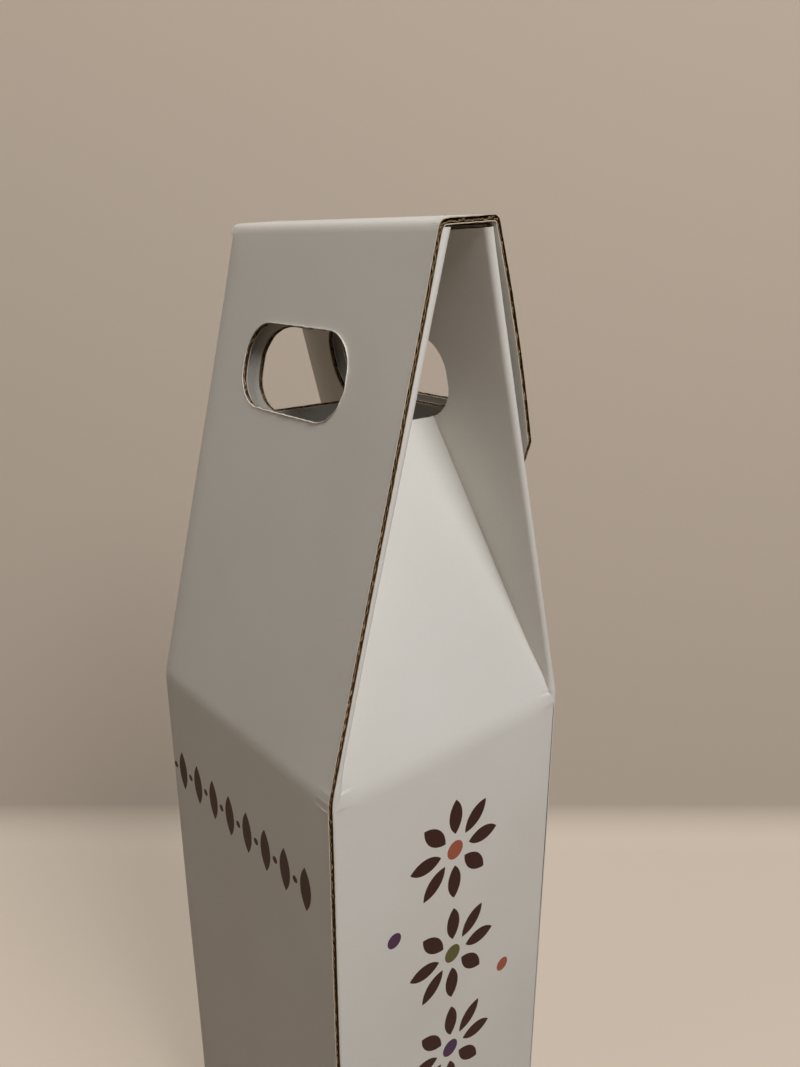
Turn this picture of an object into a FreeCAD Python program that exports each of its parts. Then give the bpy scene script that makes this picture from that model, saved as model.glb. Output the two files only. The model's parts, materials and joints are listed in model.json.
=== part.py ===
import FreeCAD, Part
import math
import os

import Sketcher
from FreeCAD import Matrix, Placement, Rotation, Vector

# Bottle shipping box: one sheet of thin corrugated board, cut and creased flat, glued into a
# square tube and folded shut like the gable of a milk carton. The front and back roof panels
# lean together into a handle, the sides fold in between them as gussets, and one oval hand hole
# goes through every layer. The front panel carries on over the top as a strip and a back flap.
# Frame: origin under the middle of the base, +Z up, the front faces -Y, +X is its right side.

# Driving dimensions
# Millimetres. The roof sizes are measured on the outer faces, along the slope.

DIMENSIONS = [
    ("width", 94.0, "outside width of the square tube, along X"),
    ("depth", 91.0, "outside depth of the square tube, along Y"),
    ("board", 1.6, "thickness of the board"),
    ("crease_height", 222.0, "floor to the crease where the front leans back"),
    ("roof_slant", 146.7, "front roof panel, from its crease to the top fold"),
    ("handle_depth", 18.0, "front to back over the two handle panels, at the top"),
    ("side_crease_drop", 2.0, "how far the side creases lie below the front crease"),
    ("crease_radius", 4.8, "outside radius of the soft crease at the foot of the roof"),
    ("glue_lap", 20.0, "width of the lap glued inside the front panel's right edge"),
    ("web_top_gap", 1.3, "gap from the gusset's top edge up to the top strip"),
    ("hole_length", 51.2, "length of the hand hole, across the panel"),
    ("hole_height", 24.4, "height of the hand hole, along the slope"),
    ("hole_round", 11.0, "corner radius of the hand hole"),
    ("hole_from_top", 28.5, "top fold to the hand hole, along the slope"),
    ("front_hole_shift", 2.4, "how far the front hole sits off centre, to the left"),
    ("web_hole_margin", 20.6, "fold line to the hand hole in a gusset web"),
    ("strip_rise", 1.2, "how much higher the top strip lies at the back"),
    ("flap_length", 73.0, "back flap, from its fold to its end"),
    ("flap_straight", 60.0, "length of the back flap's straight sides"),
    ("flap_taper", 6.3, "how far each side of the flap tapers in at its end"),
    ("flap_round", 5.0, "corner radius at the flap's end"),
    ("flap_bow", 1.4, "how far the middle of the back flap bows outward"),
    ("flap_hole_lift", 1.4, "how much nearer to the fold the flap's hole lies"),
    ("flap_gap", 0.3, "clearance between the back flap and the back panel"),
    ("fold_gap", 0.3, "running clearance at the two folds of the lid"),
    ("floor_seam", 1.0, "gap between the two outer floor flaps"),
    ("floor_setback", 0.6, "side edge of an outer floor flap, in from the wall"),
    ("inner_flap_length", 38.0, "length of an inner floor flap"),
]

doc = FreeCAD.newDocument("BottleBox")
sheet = doc.addObject("Spreadsheet::Sheet", "Sizes")
for row, (alias, value, note) in enumerate(DIMENSIONS, start=1):
    sheet.set(f"A{row}", note)
    sheet.set(f"B{row}", str(value))
    sheet.setAlias(f"B{row}", alias)
doc.recompute()


# Lengths tied to the sheet
# A length keeps its number beside the expression that binds it to the sheet's cells.

class Length:
    def __init__(self, value, text):
        self.value = value
        self.text = text

    def _join(self, other, sign, value):
        if not isinstance(other, Length):
            other = Length(other, repr(other))
        return Length(value(self.value, other.value), f"({self.text} {sign} {other.text})")

    def __add__(self, other):
        return self._join(other, "+", lambda a, b: a + b)

    def __sub__(self, other):
        return self._join(other, "-", lambda a, b: a - b)

    def __mul__(self, other):
        return self._join(other, "*", lambda a, b: a * b)

    def __truediv__(self, other):
        return self._join(other, "/", lambda a, b: a / b)

    def __neg__(self):
        return Length(-self.value, f"(0 - {self.text})")


def cell(alias):
    return Length(getattr(sheet, alias), f"Sizes.{alias}")


ZERO = Length(0.0, "0")
width, depth, board = cell("width"), cell("depth"), cell("board")
half_width, half_depth = width / 2, depth / 2
t = board.value


# Sketch helpers

def bind(sketch, constraint, size):
    """Add one dimensional constraint and tie it to the sheet."""
    index = sketch.addConstraint(constraint)
    sketch.setExpression(f"Constraints[{index}]", size.text)


def outline(sketch, corners, arcs=None):
    """Draw a closed line through corners; arcs gives the radius and turn after a corner."""
    arcs = arcs or {}
    points = [Vector(x.value, y.value, 0) for x, y in corners]
    pieces = []
    for i, start in enumerate(points):
        end = points[(i + 1) % len(points)]
        if i not in arcs:
            pieces.append(sketch.addGeometry(Part.LineSegment(start, end), False))
            continue
        radius, turn = arcs[i]
        chord = end - start
        side = Vector(-chord.y, chord.x, 0).normalize() * turn
        rise = math.sqrt(radius.value ** 2 - chord.Length ** 2 / 4)
        middle = (start + end) / 2 + side * (rise - radius.value)
        pieces.append(sketch.addGeometry(Part.Arc(start, middle, end), False))
    # A clockwise arc is stored from its far end, so its first point is number 2.
    first = [2 if i in arcs and arcs[i][1] < 0 else 1 for i in range(len(points))]
    for i, piece in enumerate(pieces):
        x, y = corners[i]
        bind(sketch, Sketcher.Constraint("DistanceX", piece, first[i], x.value), x)
        bind(sketch, Sketcher.Constraint("DistanceY", piece, first[i], y.value), y)
        if i in arcs:
            radius = arcs[i][0]
            bind(sketch, Sketcher.Constraint("Radius", piece, radius.value), radius)
        after = (i + 1) % len(pieces)
        sketch.addConstraint(Sketcher.Constraint("Coincident", piece, 3 - first[i],
                                                 pieces[after], first[after]))


def free_sketch(name, placement):
    sketch = doc.addObject("Sketcher::SketchObject", name)
    sketch.Placement = placement
    return sketch


def plane_of(body, role):
    return [f for f in body.Origin.OriginFeatures if f.Role == role][0]


def padded(name, role, corners, arcs, length, centred=False):
    """A body made by one sketch on its own origin plane and one pad."""
    body = doc.addObject("PartDesign::Body", name)
    sketch = body.newObject("Sketcher::SketchObject", name + "_outline")
    sketch.AttachmentSupport = (plane_of(body, role), [""])
    sketch.MapMode = "FlatFace"
    outline(sketch, corners, arcs)
    pad = body.newObject("PartDesign::Pad", name + "_pad")
    pad.Profile = sketch
    pad.Midplane = centred
    pad.setExpression("Length", length.text)
    return body


def hole_outline(sketch, centre_x, bottom, length):
    """The hand hole: a level slot with rounded ends, from its bottom edge up."""
    radius = cell("hole_round")
    left, right = centre_x - length / 2, centre_x + length / 2
    top = bottom + cell("hole_height")
    corners = [
        (left + radius, bottom), (right - radius, bottom),
        (right, bottom + radius), (right, top - radius),
        (right - radius, top), (left + radius, top),
        (left, top - radius), (left, bottom + radius),
    ]
    outline(sketch, corners, {i: (radius, 1) for i in (1, 3, 5, 7)})


# Lean of the roof
# The panels lean in by the same angle, so that they end a handle's depth apart.

lean = math.asin((half_depth.value - sheet.handle_depth / 2) / sheet.roof_slant)
lean_degrees = math.degrees(lean)
crease_z = sheet.crease_height
wall_z = crease_z - sheet.side_crease_drop
top_z = crease_z + sheet.roof_slant * math.cos(lean)


def roof_y(z, inset):
    """Distance from the middle plane to a leaning panel, inset from its outer face."""
    return half_depth.value - (z - crease_z) * math.tan(lean) - inset / math.cos(lean)


# Walls
# Four walls in one ring. The corners are folds, round outside and sharp inside. The right wall
# ends in a lap behind the front panel, whose own cut edge stays open at the right-hand corner.

lap_x = half_width - cell("glue_lap")
ring = [
    (-half_width + board, -half_depth), (half_width, -half_depth),
    (half_width, -half_depth + board), (half_width - board, -half_depth + board),
    (half_width, -half_depth + board * 2), (half_width, half_depth - board),
    (half_width - board, half_depth), (-half_width + board, half_depth),
    (-half_width, half_depth - board), (-half_width, -half_depth + board),
]
walls = padded("walls", "XY_Plane", ring,
               {3: (board, 1), 5: (board, 1), 7: (board, 1), 9: (board, 1)},
               cell("crease_height") - cell("side_crease_drop") - board)
hollow = walls.newObject("Sketcher::SketchObject", "hollow_outline")
hollow.AttachmentSupport = (plane_of(walls, "XY_Plane"), [""])
hollow.MapMode = "FlatFace"
outline(hollow, [
    (-half_width + board, -half_depth + board), (lap_x, -half_depth + board),
    (lap_x, -half_depth + board * 2), (half_width - board, -half_depth + board * 2),
    (half_width - board, half_depth - board), (-half_width + board, half_depth - board),
])
pocket = walls.newObject("PartDesign::Pocket", "hollow")
pocket.Profile = hollow
pocket.Type = "ThroughAll"
pocket.Midplane = True
walls.Placement = Placement(Vector(0, 0, t), Rotation())


# Floor
# Two flaps folded in from the sides, and two from the front and back glued under them, which
# meet at a seam. Each fold at the foot of a wall is rounded by one board.

outer_flap = [
    (-half_depth, board), (-half_depth + board, ZERO),
    (-cell("floor_seam") / 2, ZERO), (-cell("floor_seam") / 2, board),
]
floor_parts = []
for name, turn in (("front", 0), ("back", 180)):
    flap = padded(name + "_floor_flap", "YZ_Plane", outer_flap, {0: (board, 1)},
                  width - cell("floor_setback") * 2, centred=True)
    flap.Placement = Placement(Vector(), Rotation(Vector(0, 0, 1), turn))
    floor_parts.append(flap)
for name, side in (("left", -1), ("right", 1)):
    flap = doc.addObject("Part::Box", name + "_inner_flap")
    flap.setExpression("Length", "Sizes.inner_flap_length")
    flap.setExpression("Width", (depth - board * 3).text)
    flap.setExpression("Height", "Sizes.board")
    start_x = half_width.value - t - sheet.inner_flap_length
    corner_x = start_x if side > 0 else -start_x - sheet.inner_flap_length
    flap.Placement = Placement(Vector(corner_x, -half_depth.value + 2 * t, t), Rotation())
    floor_parts.append(flap)


# Roof panels
# Each panel's section across the slope ends in a full round, where the board turns back on
# itself into a gusset web. The section is swept up the wall, round the crease and up the slope.

def round_end(x, y, side):
    """Corners of three quarters of a fold's round, from the free side to the inner face."""
    return [(x, y - board), (x + board * side, y), (x, y + board), (x - board * side, y)]


def panel_section(name, lapped):
    left_fold = round_end(-half_width + board, -half_depth + board, -1)
    right_depth = -half_depth + board * (2 if lapped else 1)
    right_fold = round_end(half_width - board, right_depth, 1)
    if lapped:
        edge = [(half_width, -half_depth), (half_width, -half_depth + board)]
        inner = [(lap_x, -half_depth + board * 2), (lap_x, -half_depth + board)]
    else:
        edge, inner = [], []
    corners = edge + right_fold + inner + left_fold[::-1]
    start = len(edge)
    arcs = {start + i: (board, 1) for i in range(3)}
    start = len(edge + right_fold + inner)
    arcs.update({start + i: (board, 1) for i in range(3)})
    section = free_sketch(name + "_section", Placement(Vector(0, 0, wall_z), Rotation()))
    outline(section, corners, arcs)
    return section


def panel_route(name):
    radius = cell("crease_radius")
    start_z = crease_z - radius.value * math.tan(lean / 2)
    outer_y = -half_depth.value
    bend_end = Vector(0, outer_y + radius.value * (1 - math.cos(lean)),
                      start_z + radius.value * math.sin(lean))
    bend_middle = Vector(0, outer_y + radius.value * (1 - math.cos(lean / 2)),
                         start_z + radius.value * math.sin(lean / 2))
    slope = Vector(0, math.sin(lean), math.cos(lean))
    run = sheet.roof_slant - radius.value * math.tan(lean / 2) - t - sheet.fold_gap
    route = doc.addObject("Part::Feature", name + "_route")
    route.Shape = Part.Wire([
        Part.LineSegment(Vector(0, outer_y, wall_z), Vector(0, outer_y, start_z)).toShape(),
        Part.Arc(Vector(0, outer_y, start_z), bend_middle, bend_end).toShape(),
        Part.LineSegment(bend_end, bend_end + slope * run).toShape(),
    ])
    return route


def slope_placement(z):
    """Frame of the front panel's outer face, Y into the board, Z up the slope."""
    return Placement(Vector(0, -half_depth.value, z), Rotation(Vector(1, 0, 0), -lean_degrees))


hole_bottom = cell("roof_slant") - cell("hole_from_top") - cell("hole_height")


def roof_panel(name, lapped, hole_x):
    section, route = panel_section(name, lapped), panel_route(name)
    sweep = doc.addObject("Part::Sweep", name + "_sheet")
    sweep.Sections = [section]
    sweep.Spine = (route, ["Edge1", "Edge2", "Edge3"])
    sweep.Solid = True
    upright = Placement(Vector(), Rotation(Vector(1, 0, 0), 90))
    hole = free_sketch(name + "_hole_outline", slope_placement(crease_z).multiply(upright))
    hole_outline(hole, hole_x, hole_bottom, cell("hole_length"))
    punch = doc.addObject("Part::Extrusion", name + "_punch")
    punch.Base = hole
    punch.DirMode = "Normal"
    punch.Solid = True
    punch.Symmetric = True
    punch.setExpression("LengthFwd", (board * 8).text)
    panel = doc.addObject("Part::Cut", name)
    panel.Base = sweep
    panel.Tool = punch
    return panel


front_roof = roof_panel("front_roof", True, -cell("front_hole_shift"))
back_roof = roof_panel("back_roof", False, ZERO)
back_roof.Placement = Placement(Vector(), Rotation(Vector(0, 0, 1), 180))


# Gussets
# Above its crease a side is one triangle, with a web on either side that reaches the folds of
# the front and back panels. The triangle tips inward just far enough for the flat blank, a
# rectangle as wide as the side and as high as the webs, to keep all its lengths.

def plate(corners, x_axis, y_axis, at, holes):
    """A flat piece of board, drawn in its blank and set up around its middle layer."""
    normal = x_axis.cross(y_axis)
    points = [Vector(x, y, -t / 2) for x, y in corners]
    solid = Part.Face(Part.makePolygon(points + points[:1])).extrude(Vector(0, 0, t)).cut(holes)
    solid.Placement = Placement(Matrix(x_axis.x, y_axis.x, normal.x, at.x,
                                       x_axis.y, y_axis.y, normal.y, at.y,
                                       x_axis.z, y_axis.z, normal.z, at.z, 0, 0, 0, 1))
    return solid


def inset(corners, steps):
    """Move each edge of an anticlockwise polygon inward by its own step."""
    lines = []
    for i, (x, y) in enumerate(corners):
        next_x, next_y = corners[(i + 1) % len(corners)]
        run = math.hypot(next_x - x, next_y - y)
        dx, dy = (next_x - x) / run, (next_y - y) / run
        lines.append((x - dy * steps[i], y + dx * steps[i], dx, dy))
    moved = []
    for i, (x, y, dx, dy) in enumerate(lines):
        last_x, last_y, last_dx, last_dy = lines[i - 1]
        along = ((x - last_x) * dy - (y - last_y) * dx) / (last_dx * dy - last_dy * dx)
        moved.append((last_x + last_dx * along, last_y + last_dy * along))
    return moved


def rounded_punch(centre, half_length, low, high, radius):
    """The hand hole as a prism through a plate in its blank."""
    reach = 3 * t
    block = Part.makeBox(2 * half_length, high - low, 2 * reach,
                         Vector(centre - half_length, low, -reach))
    upright = [e for e in block.Edges if abs(e.tangentAt(e.FirstParameter).z) > 0.9]
    return block.makeFillet(radius, upright)


def gusset(name, half_base, half_top, rise):
    """Triangle and webs, from the middle of the side crease; outward is +X."""
    height = math.hypot(half_base - half_top, rise)
    apex_z = rise - half_top * (half_base - half_top) / rise
    apex = Vector(-math.sqrt(height ** 2 - apex_z ** 2), 0, apex_z)
    up = Vector(apex).normalize()
    along = Vector(0, 1, 0)
    corner = Vector(0, -half_base, 0)
    low = hole_bottom.value + sheet.side_crease_drop
    punch = rounded_punch(half_base, half_base - sheet.web_hole_margin,
                          low, low + sheet.hole_height, sheet.hole_round)
    slot = punch.copy()
    slot.Placement = Placement(Matrix(0, up.x, up.z, corner.x,
                                      1, up.y, 0, corner.y,
                                      0, up.z, -up.x, corner.z, 0, 0, 0, 1))
    # Each plate ends inside the round of its crease, a quarter board short of the crease line.
    short = t / 4
    blank = inset([(0, 0), (2 * half_base, 0), (half_base, height)], [short] * 3)
    pieces = [plate(blank, along, up, corner, punch)]
    pieces.append(Part.makeCylinder(t / 2, 2 * half_base, corner, along))
    blank = inset([(0, 0), (half_base, height), (0, height)], [short, 0, t / 2])
    for side in (-1, 1):
        foot = Vector(0, side * half_base, 0)
        top = Vector(0, side * half_top, rise)
        pieces.append(plate(blank, (apex - top).normalize(), (top - foot).normalize(),
                            foot, punch))
        crease = apex - foot
        pieces.append(Part.makeCylinder(t / 2, crease.Length, foot, crease).cut(slot))
    made = doc.addObject("Part::Feature", name)
    made.Shape = pieces[0].multiFuse(pieces[1:])
    return made


web_top_z = top_z - t - sheet.web_top_gap
rise = web_top_z - wall_z
half_left = half_depth.value - 1.5 * t
left_gusset = gusset("left_gusset", half_left, roof_y(web_top_z, 1.5 * t), rise)
left_gusset.Placement = Placement(Vector(-half_width.value + t / 2, 0, wall_z),
                                  Rotation(Vector(0, 0, 1), 180))
right_gusset = gusset("right_gusset", half_left - t / 2, roof_y(web_top_z, 2 * t), rise)
right_gusset.Placement = Placement(Vector(half_width.value - t / 2, t / 2, wall_z), Rotation())


# Box body
# The glued and folded sheet up to the top fold, as one solid.

box_body = doc.addObject("Part::MultiFuse", "box_body")
box_body.Shapes = [walls, front_roof, back_roof, left_gusset, right_gusset] + floor_parts


# Top strip
# The strip between the two folds of the lid, rounded about each fold's axis.

front_fold_z = top_z - t / 2
front_fold_y = -roof_y(front_fold_z, t / 2)
back_fold_z = front_fold_z + sheet.strip_rise
back_fold_y = roof_y(back_fold_z, -sheet.flap_gap - t / 2)
strip_span = math.hypot(back_fold_y - front_fold_y, sheet.strip_rise)
strip_tilt = math.degrees(math.atan2(sheet.strip_rise, back_fold_y - front_fold_y))

top_strip = doc.addObject("Part::MultiFuse", "top_strip")
deck = doc.addObject("Part::Box", "strip_deck")
deck.setExpression("Length", "Sizes.width")
deck.Width = strip_span
deck.setExpression("Height", "Sizes.board")
deck.Placement = Placement(Vector(-half_width.value, 0, -t / 2), Rotation())
strip_parts = [deck]
for name, reach in (("front", 0.0), ("back", strip_span)):
    rounded = doc.addObject("Part::Cylinder", f"strip_{name}_round")
    rounded.setExpression("Radius", (board / 2).text)
    rounded.setExpression("Height", "Sizes.width")
    rounded.Placement = Placement(Vector(-half_width.value, reach, 0),
                                  Rotation(Vector(0, 1, 0), 90))
    strip_parts.append(rounded)
top_strip.Shapes = strip_parts
top_strip.Placement = Placement(Vector(0, front_fold_y, front_fold_z),
                                Rotation(Vector(1, 0, 0), strip_tilt))


# Back flap
# Hangs from the strip's back fold outside the back panel, bowed slightly away from it. Its
# blank has straight sides, then tapers, and the hand hole is punched through it too.

flap_top = board / 2 + cell("fold_gap")
flap_end = cell("flap_length")
chord = flap_end - flap_top
bow = cell("flap_bow")
bow_radius = chord * chord / (bow * 8) + bow / 2
bowed = padded("bowed_sheet", "YZ_Plane", [
    (-board / 2, -flap_end), (board / 2, -flap_end),
    (board / 2, -flap_top), (-board / 2, -flap_top),
], {1: (bow_radius + board / 2, 1), 3: (bow_radius - board / 2, -1)}, width, centred=True)

end_half = half_width - cell("flap_taper")
end_round = cell("flap_round")
blank = padded("flap_blank", "XZ_Plane", [
    (-half_width, ZERO), (-half_width, -cell("flap_straight")),
    (-end_half, -flap_end), (end_half, -flap_end),
    (half_width, -cell("flap_straight")), (half_width, ZERO),
], None, (bow + board) * 4, centred=True)
doc.recompute()
blank_pad = blank.Tip
end_edges = []
for index, edge in enumerate(blank_pad.Shape.Edges, start=1):
    ends = [v.Point for v in edge.Vertexes]
    upright = abs(ends[0].y - ends[-1].y) > 1
    if upright and all(abs(p.z + flap_end.value) < 0.001 for p in ends):
        end_edges.append(f"Edge{index}")
rounding = blank.newObject("PartDesign::Fillet", "flap_corners")
rounding.Base = (blank_pad, end_edges)
rounding.setExpression("Radius", end_round.text)
blank.Tip = rounding

upright = Placement(Vector(), Rotation(Vector(1, 0, 0), 90))
flap_hole = free_sketch("flap_hole_outline", upright)
flap_hole_top = cell("hole_from_top") - cell("flap_hole_lift")
hole_outline(flap_hole, ZERO, -flap_hole_top - cell("hole_height"), cell("hole_length"))
flap_punch = doc.addObject("Part::Extrusion", "flap_punch")
flap_punch.Base = flap_hole
flap_punch.DirMode = "Normal"
flap_punch.Solid = True
flap_punch.Symmetric = True
flap_punch.setExpression("LengthFwd", ((bow + board) * 4).text)
flap_sheet = doc.addObject("Part::MultiCommon", "flap_sheet")
flap_sheet.Shapes = [bowed, blank]
back_flap = doc.addObject("Part::Cut", "back_flap")
back_flap.Base = flap_sheet
back_flap.Tool = flap_punch
back_flap.Placement = Placement(Vector(0, back_fold_y, back_fold_z),
                                Rotation(Vector(1, 0, 0), lean_degrees))


# Check and write
# Each sub-part is checked before anything is written.

SUBPARTS = [box_body, top_strip, back_flap]
doc.recompute()
for item in doc.Objects:
    if "Invalid" in item.State or "Error" in item.State:
        raise RuntimeError(f"{item.Name} failed: {item.State}")
for part in SUBPARTS:
    part.Label = part.Name
    if part.Shape.isNull() or not part.Shape.isValid():
        raise RuntimeError(f"{part.Label} has no valid shape")
    print(part.Label, len(part.Shape.Solids), "solid", round(part.Shape.Volume), "mm3")

os.makedirs("parts", exist_ok=True)
for part in SUBPARTS:
    part.Shape.exportStep(f"parts/{part.Label}.step")
print("front fold axis y, z", round(front_fold_y, 3), round(front_fold_z, 3))
print("back fold axis y, z", round(back_fold_y, 3), round(back_fold_z, 3))
print("lean", round(lean_degrees, 3), "top", round(top_z, 3))
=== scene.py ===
# %% [markdown]
# # A folded bottle box, from one printed blank
# The real box is one sheet of thin corrugated board: two white paper liners with a brown wavy
# paper, the fluting, glued between them. It is cut flat, creased, folded and glued. This lesson
# builds it the same way. Each sheet is cut flat first, with its hand holes and its print, and a
# function then says where every point of the flat sheet ends up once it is folded.

import json
import math

import bpy
import numpy as np
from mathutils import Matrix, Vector, bvhtree, geometry


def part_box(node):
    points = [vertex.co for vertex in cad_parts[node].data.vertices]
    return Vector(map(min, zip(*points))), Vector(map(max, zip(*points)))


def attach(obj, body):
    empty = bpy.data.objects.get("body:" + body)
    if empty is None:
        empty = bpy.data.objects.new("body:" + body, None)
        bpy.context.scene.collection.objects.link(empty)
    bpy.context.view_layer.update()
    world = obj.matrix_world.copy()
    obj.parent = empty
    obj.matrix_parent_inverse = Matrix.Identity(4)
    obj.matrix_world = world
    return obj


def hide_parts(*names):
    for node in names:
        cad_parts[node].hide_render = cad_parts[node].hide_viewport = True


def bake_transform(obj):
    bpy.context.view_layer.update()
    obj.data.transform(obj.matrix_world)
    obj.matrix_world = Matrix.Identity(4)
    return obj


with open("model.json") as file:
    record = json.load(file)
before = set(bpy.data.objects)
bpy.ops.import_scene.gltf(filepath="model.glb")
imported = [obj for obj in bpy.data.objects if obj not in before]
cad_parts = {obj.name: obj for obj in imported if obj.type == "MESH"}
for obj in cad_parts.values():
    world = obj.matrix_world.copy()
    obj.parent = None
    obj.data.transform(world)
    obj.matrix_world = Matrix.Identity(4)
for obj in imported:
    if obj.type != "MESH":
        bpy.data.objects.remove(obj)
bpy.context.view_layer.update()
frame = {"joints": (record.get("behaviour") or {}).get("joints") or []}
MM = 0.001

# %% [markdown]
# ## Sizes
# The outside of the tube and the two fold axes of the lid come from the frame. What the frame
# doesn't say, such as the board's thickness, is named here. Every length is in millimetres,
# and turns to metres only when a mesh is made.

# %% Sizes
body_low, body_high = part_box("box_body")
HALF_WIDTH = round(body_high.x / MM, 2)
HALF_DEPTH = round(body_high.y / MM, 2)
BOARD = 1.6
LINER = 0.24
MIDDLE = BOARD / 2
CREASE_Z = 222.0
SIDE_CREASE_Z = 220.0
LAP = 20.0
axes = {joint["name"]: joint["pos_m"] for joint in frame["joints"]}
FRONT_FOLD = np.array([0.0, axes["strip_fold"][1] / MM, axes["strip_fold"][2] / MM])
BACK_FOLD = np.array([0.0, axes["flap_fold"][1] / MM, axes["flap_fold"][2] / MM])

to_fold = FRONT_FOLD[1:] - (-HALF_DEPTH, CREASE_Z)
fold_reach = np.hypot(*to_fold)
LEAN = math.atan2(*to_fold) - math.asin(MIDDLE / fold_reach)
S_FOLD = CREASE_Z + math.sqrt(fold_reach ** 2 - MIDDLE ** 2)
print("half width", HALF_WIDTH, "half depth", HALF_DEPTH)
print("lean of the roof", round(math.degrees(LEAN), 2), "degrees")

# %% [markdown]
# ## Helpers for smooth shapes
# Three small helpers return again and again: a smooth step from 0 to 1, a unit vector, and a
# slow ripple. Real board is never dead flat, and a ripple of a tenth of a millimetre is enough
# for the light to slide over it.

# %% Helpers
def smooth(x, low, high):
    k = np.clip((np.asarray(x, float) - low) / (high - low), 0, 1)
    return k * k * (3 - 2 * k)


def unit(v):
    v = np.asarray(v, float)
    return v / np.maximum(np.linalg.norm(v, axis=-1, keepdims=True), 1e-12)


def ripple(a, b, size, seed):
    """Soft noise from -1 to 1 over a plane: five sine waves of about the given size."""
    turn = np.random.default_rng(seed).uniform(0, 2 * math.pi, (5, 2))
    total = 0
    for i, (way, start) in enumerate(turn):
        pitch = size * (0.7 + 0.22 * i)
        along = a * math.cos(way) + b * math.sin(way)
        total = total + np.sin(2 * math.pi * along / pitch + start)
    return total / 5


# %% [markdown]
# ## The route up the front
# Seen from the side, the front panel is a floor flap, a tight fold at the foot, a wall, a soft
# crease and a slope. `s` is the length along the sheet, and equals the height on the wall. The
# back panel follows the same route mirrored.

# %% Route of a panel
FLOOR_SEAM = 0.5
CREASE_BEND = 6.5
foot_start = BOARD - MIDDLE * math.pi / 2
bend_start = CREASE_Z - CREASE_BEND / 2
S_FLOOR = foot_start - (HALF_DEPTH - BOARD - FLOOR_SEAM)
S_SIDE_FOOT = 2 * BOARD


def panel_route(s):
    """(depth behind the outer face, height, inward normal) of the board's middle layer."""
    s = np.asarray(s, float)
    angle = LEAN * smooth(s, bend_start, bend_start + CREASE_BEND)
    normal = np.stack([np.cos(angle), -np.sin(angle)], -1)
    steps = np.linspace(bend_start, bend_start + CREASE_BEND, 60)
    lean = LEAN * smooth(steps, bend_start, bend_start + CREASE_BEND)
    gap = steps[1] - steps[0]
    y_run = np.concatenate([[0], np.cumsum(np.sin((lean[1:] + lean[:-1]) / 2)) * gap])
    z_run = np.concatenate([[0], np.cumsum(np.cos((lean[1:] + lean[:-1]) / 2)) * gap])
    bent = s > bend_start
    beyond = np.maximum(s - bend_start - CREASE_BEND, 0)
    depth = MIDDLE + np.interp(s, steps, y_run) + beyond * math.sin(LEAN)
    depth = np.where(bent, depth, MIDDLE)
    height = bend_start + np.interp(s, steps, z_run) + beyond * math.cos(LEAN)
    height = np.where(bent, height, s)
    turn = np.clip((BOARD - s) / MIDDLE, 0, math.pi / 2)
    flat = np.maximum(foot_start - s, 0)
    low = s < BOARD
    depth = np.where(low, BOARD - MIDDLE * np.cos(turn) + flat, depth)
    height = np.where(low, BOARD - MIDDLE * np.sin(turn), height)
    normal[low] = np.stack([np.cos(turn), np.sin(turn)], -1)[low]
    return depth, height, normal


check_depth, _, _ = panel_route(np.array([0.0, 100.0, S_FOLD]))
print("the front's middle layer reaches", np.round(check_depth - HALF_DEPTH, 2), "mm in y")

# %% [markdown]
# ## The sides and their gussets
# Above its crease each side is a triangle with a web on either side. A gusset's flat shape is a
# rectangle, so its three plates keep their lengths: the triangle tips inward just as far as
# that needs. Each sharp meeting of two plates is then rounded by a short curve across it.

# %% Side and gusset surfaces
WEB_TOP_GAP = 1.3
WEB_TOP_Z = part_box("top_strip")[0].z / MM - WEB_TOP_GAP
GUSSET_RISE = WEB_TOP_Z - SIDE_CREASE_Z
SIDE_BEND = 3.6
WEB_BEND = 1.0


def roof_y(z, inset):
    return HALF_DEPTH - (z - CREASE_Z) * math.tan(LEAN) - inset / math.cos(LEAN)


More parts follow.
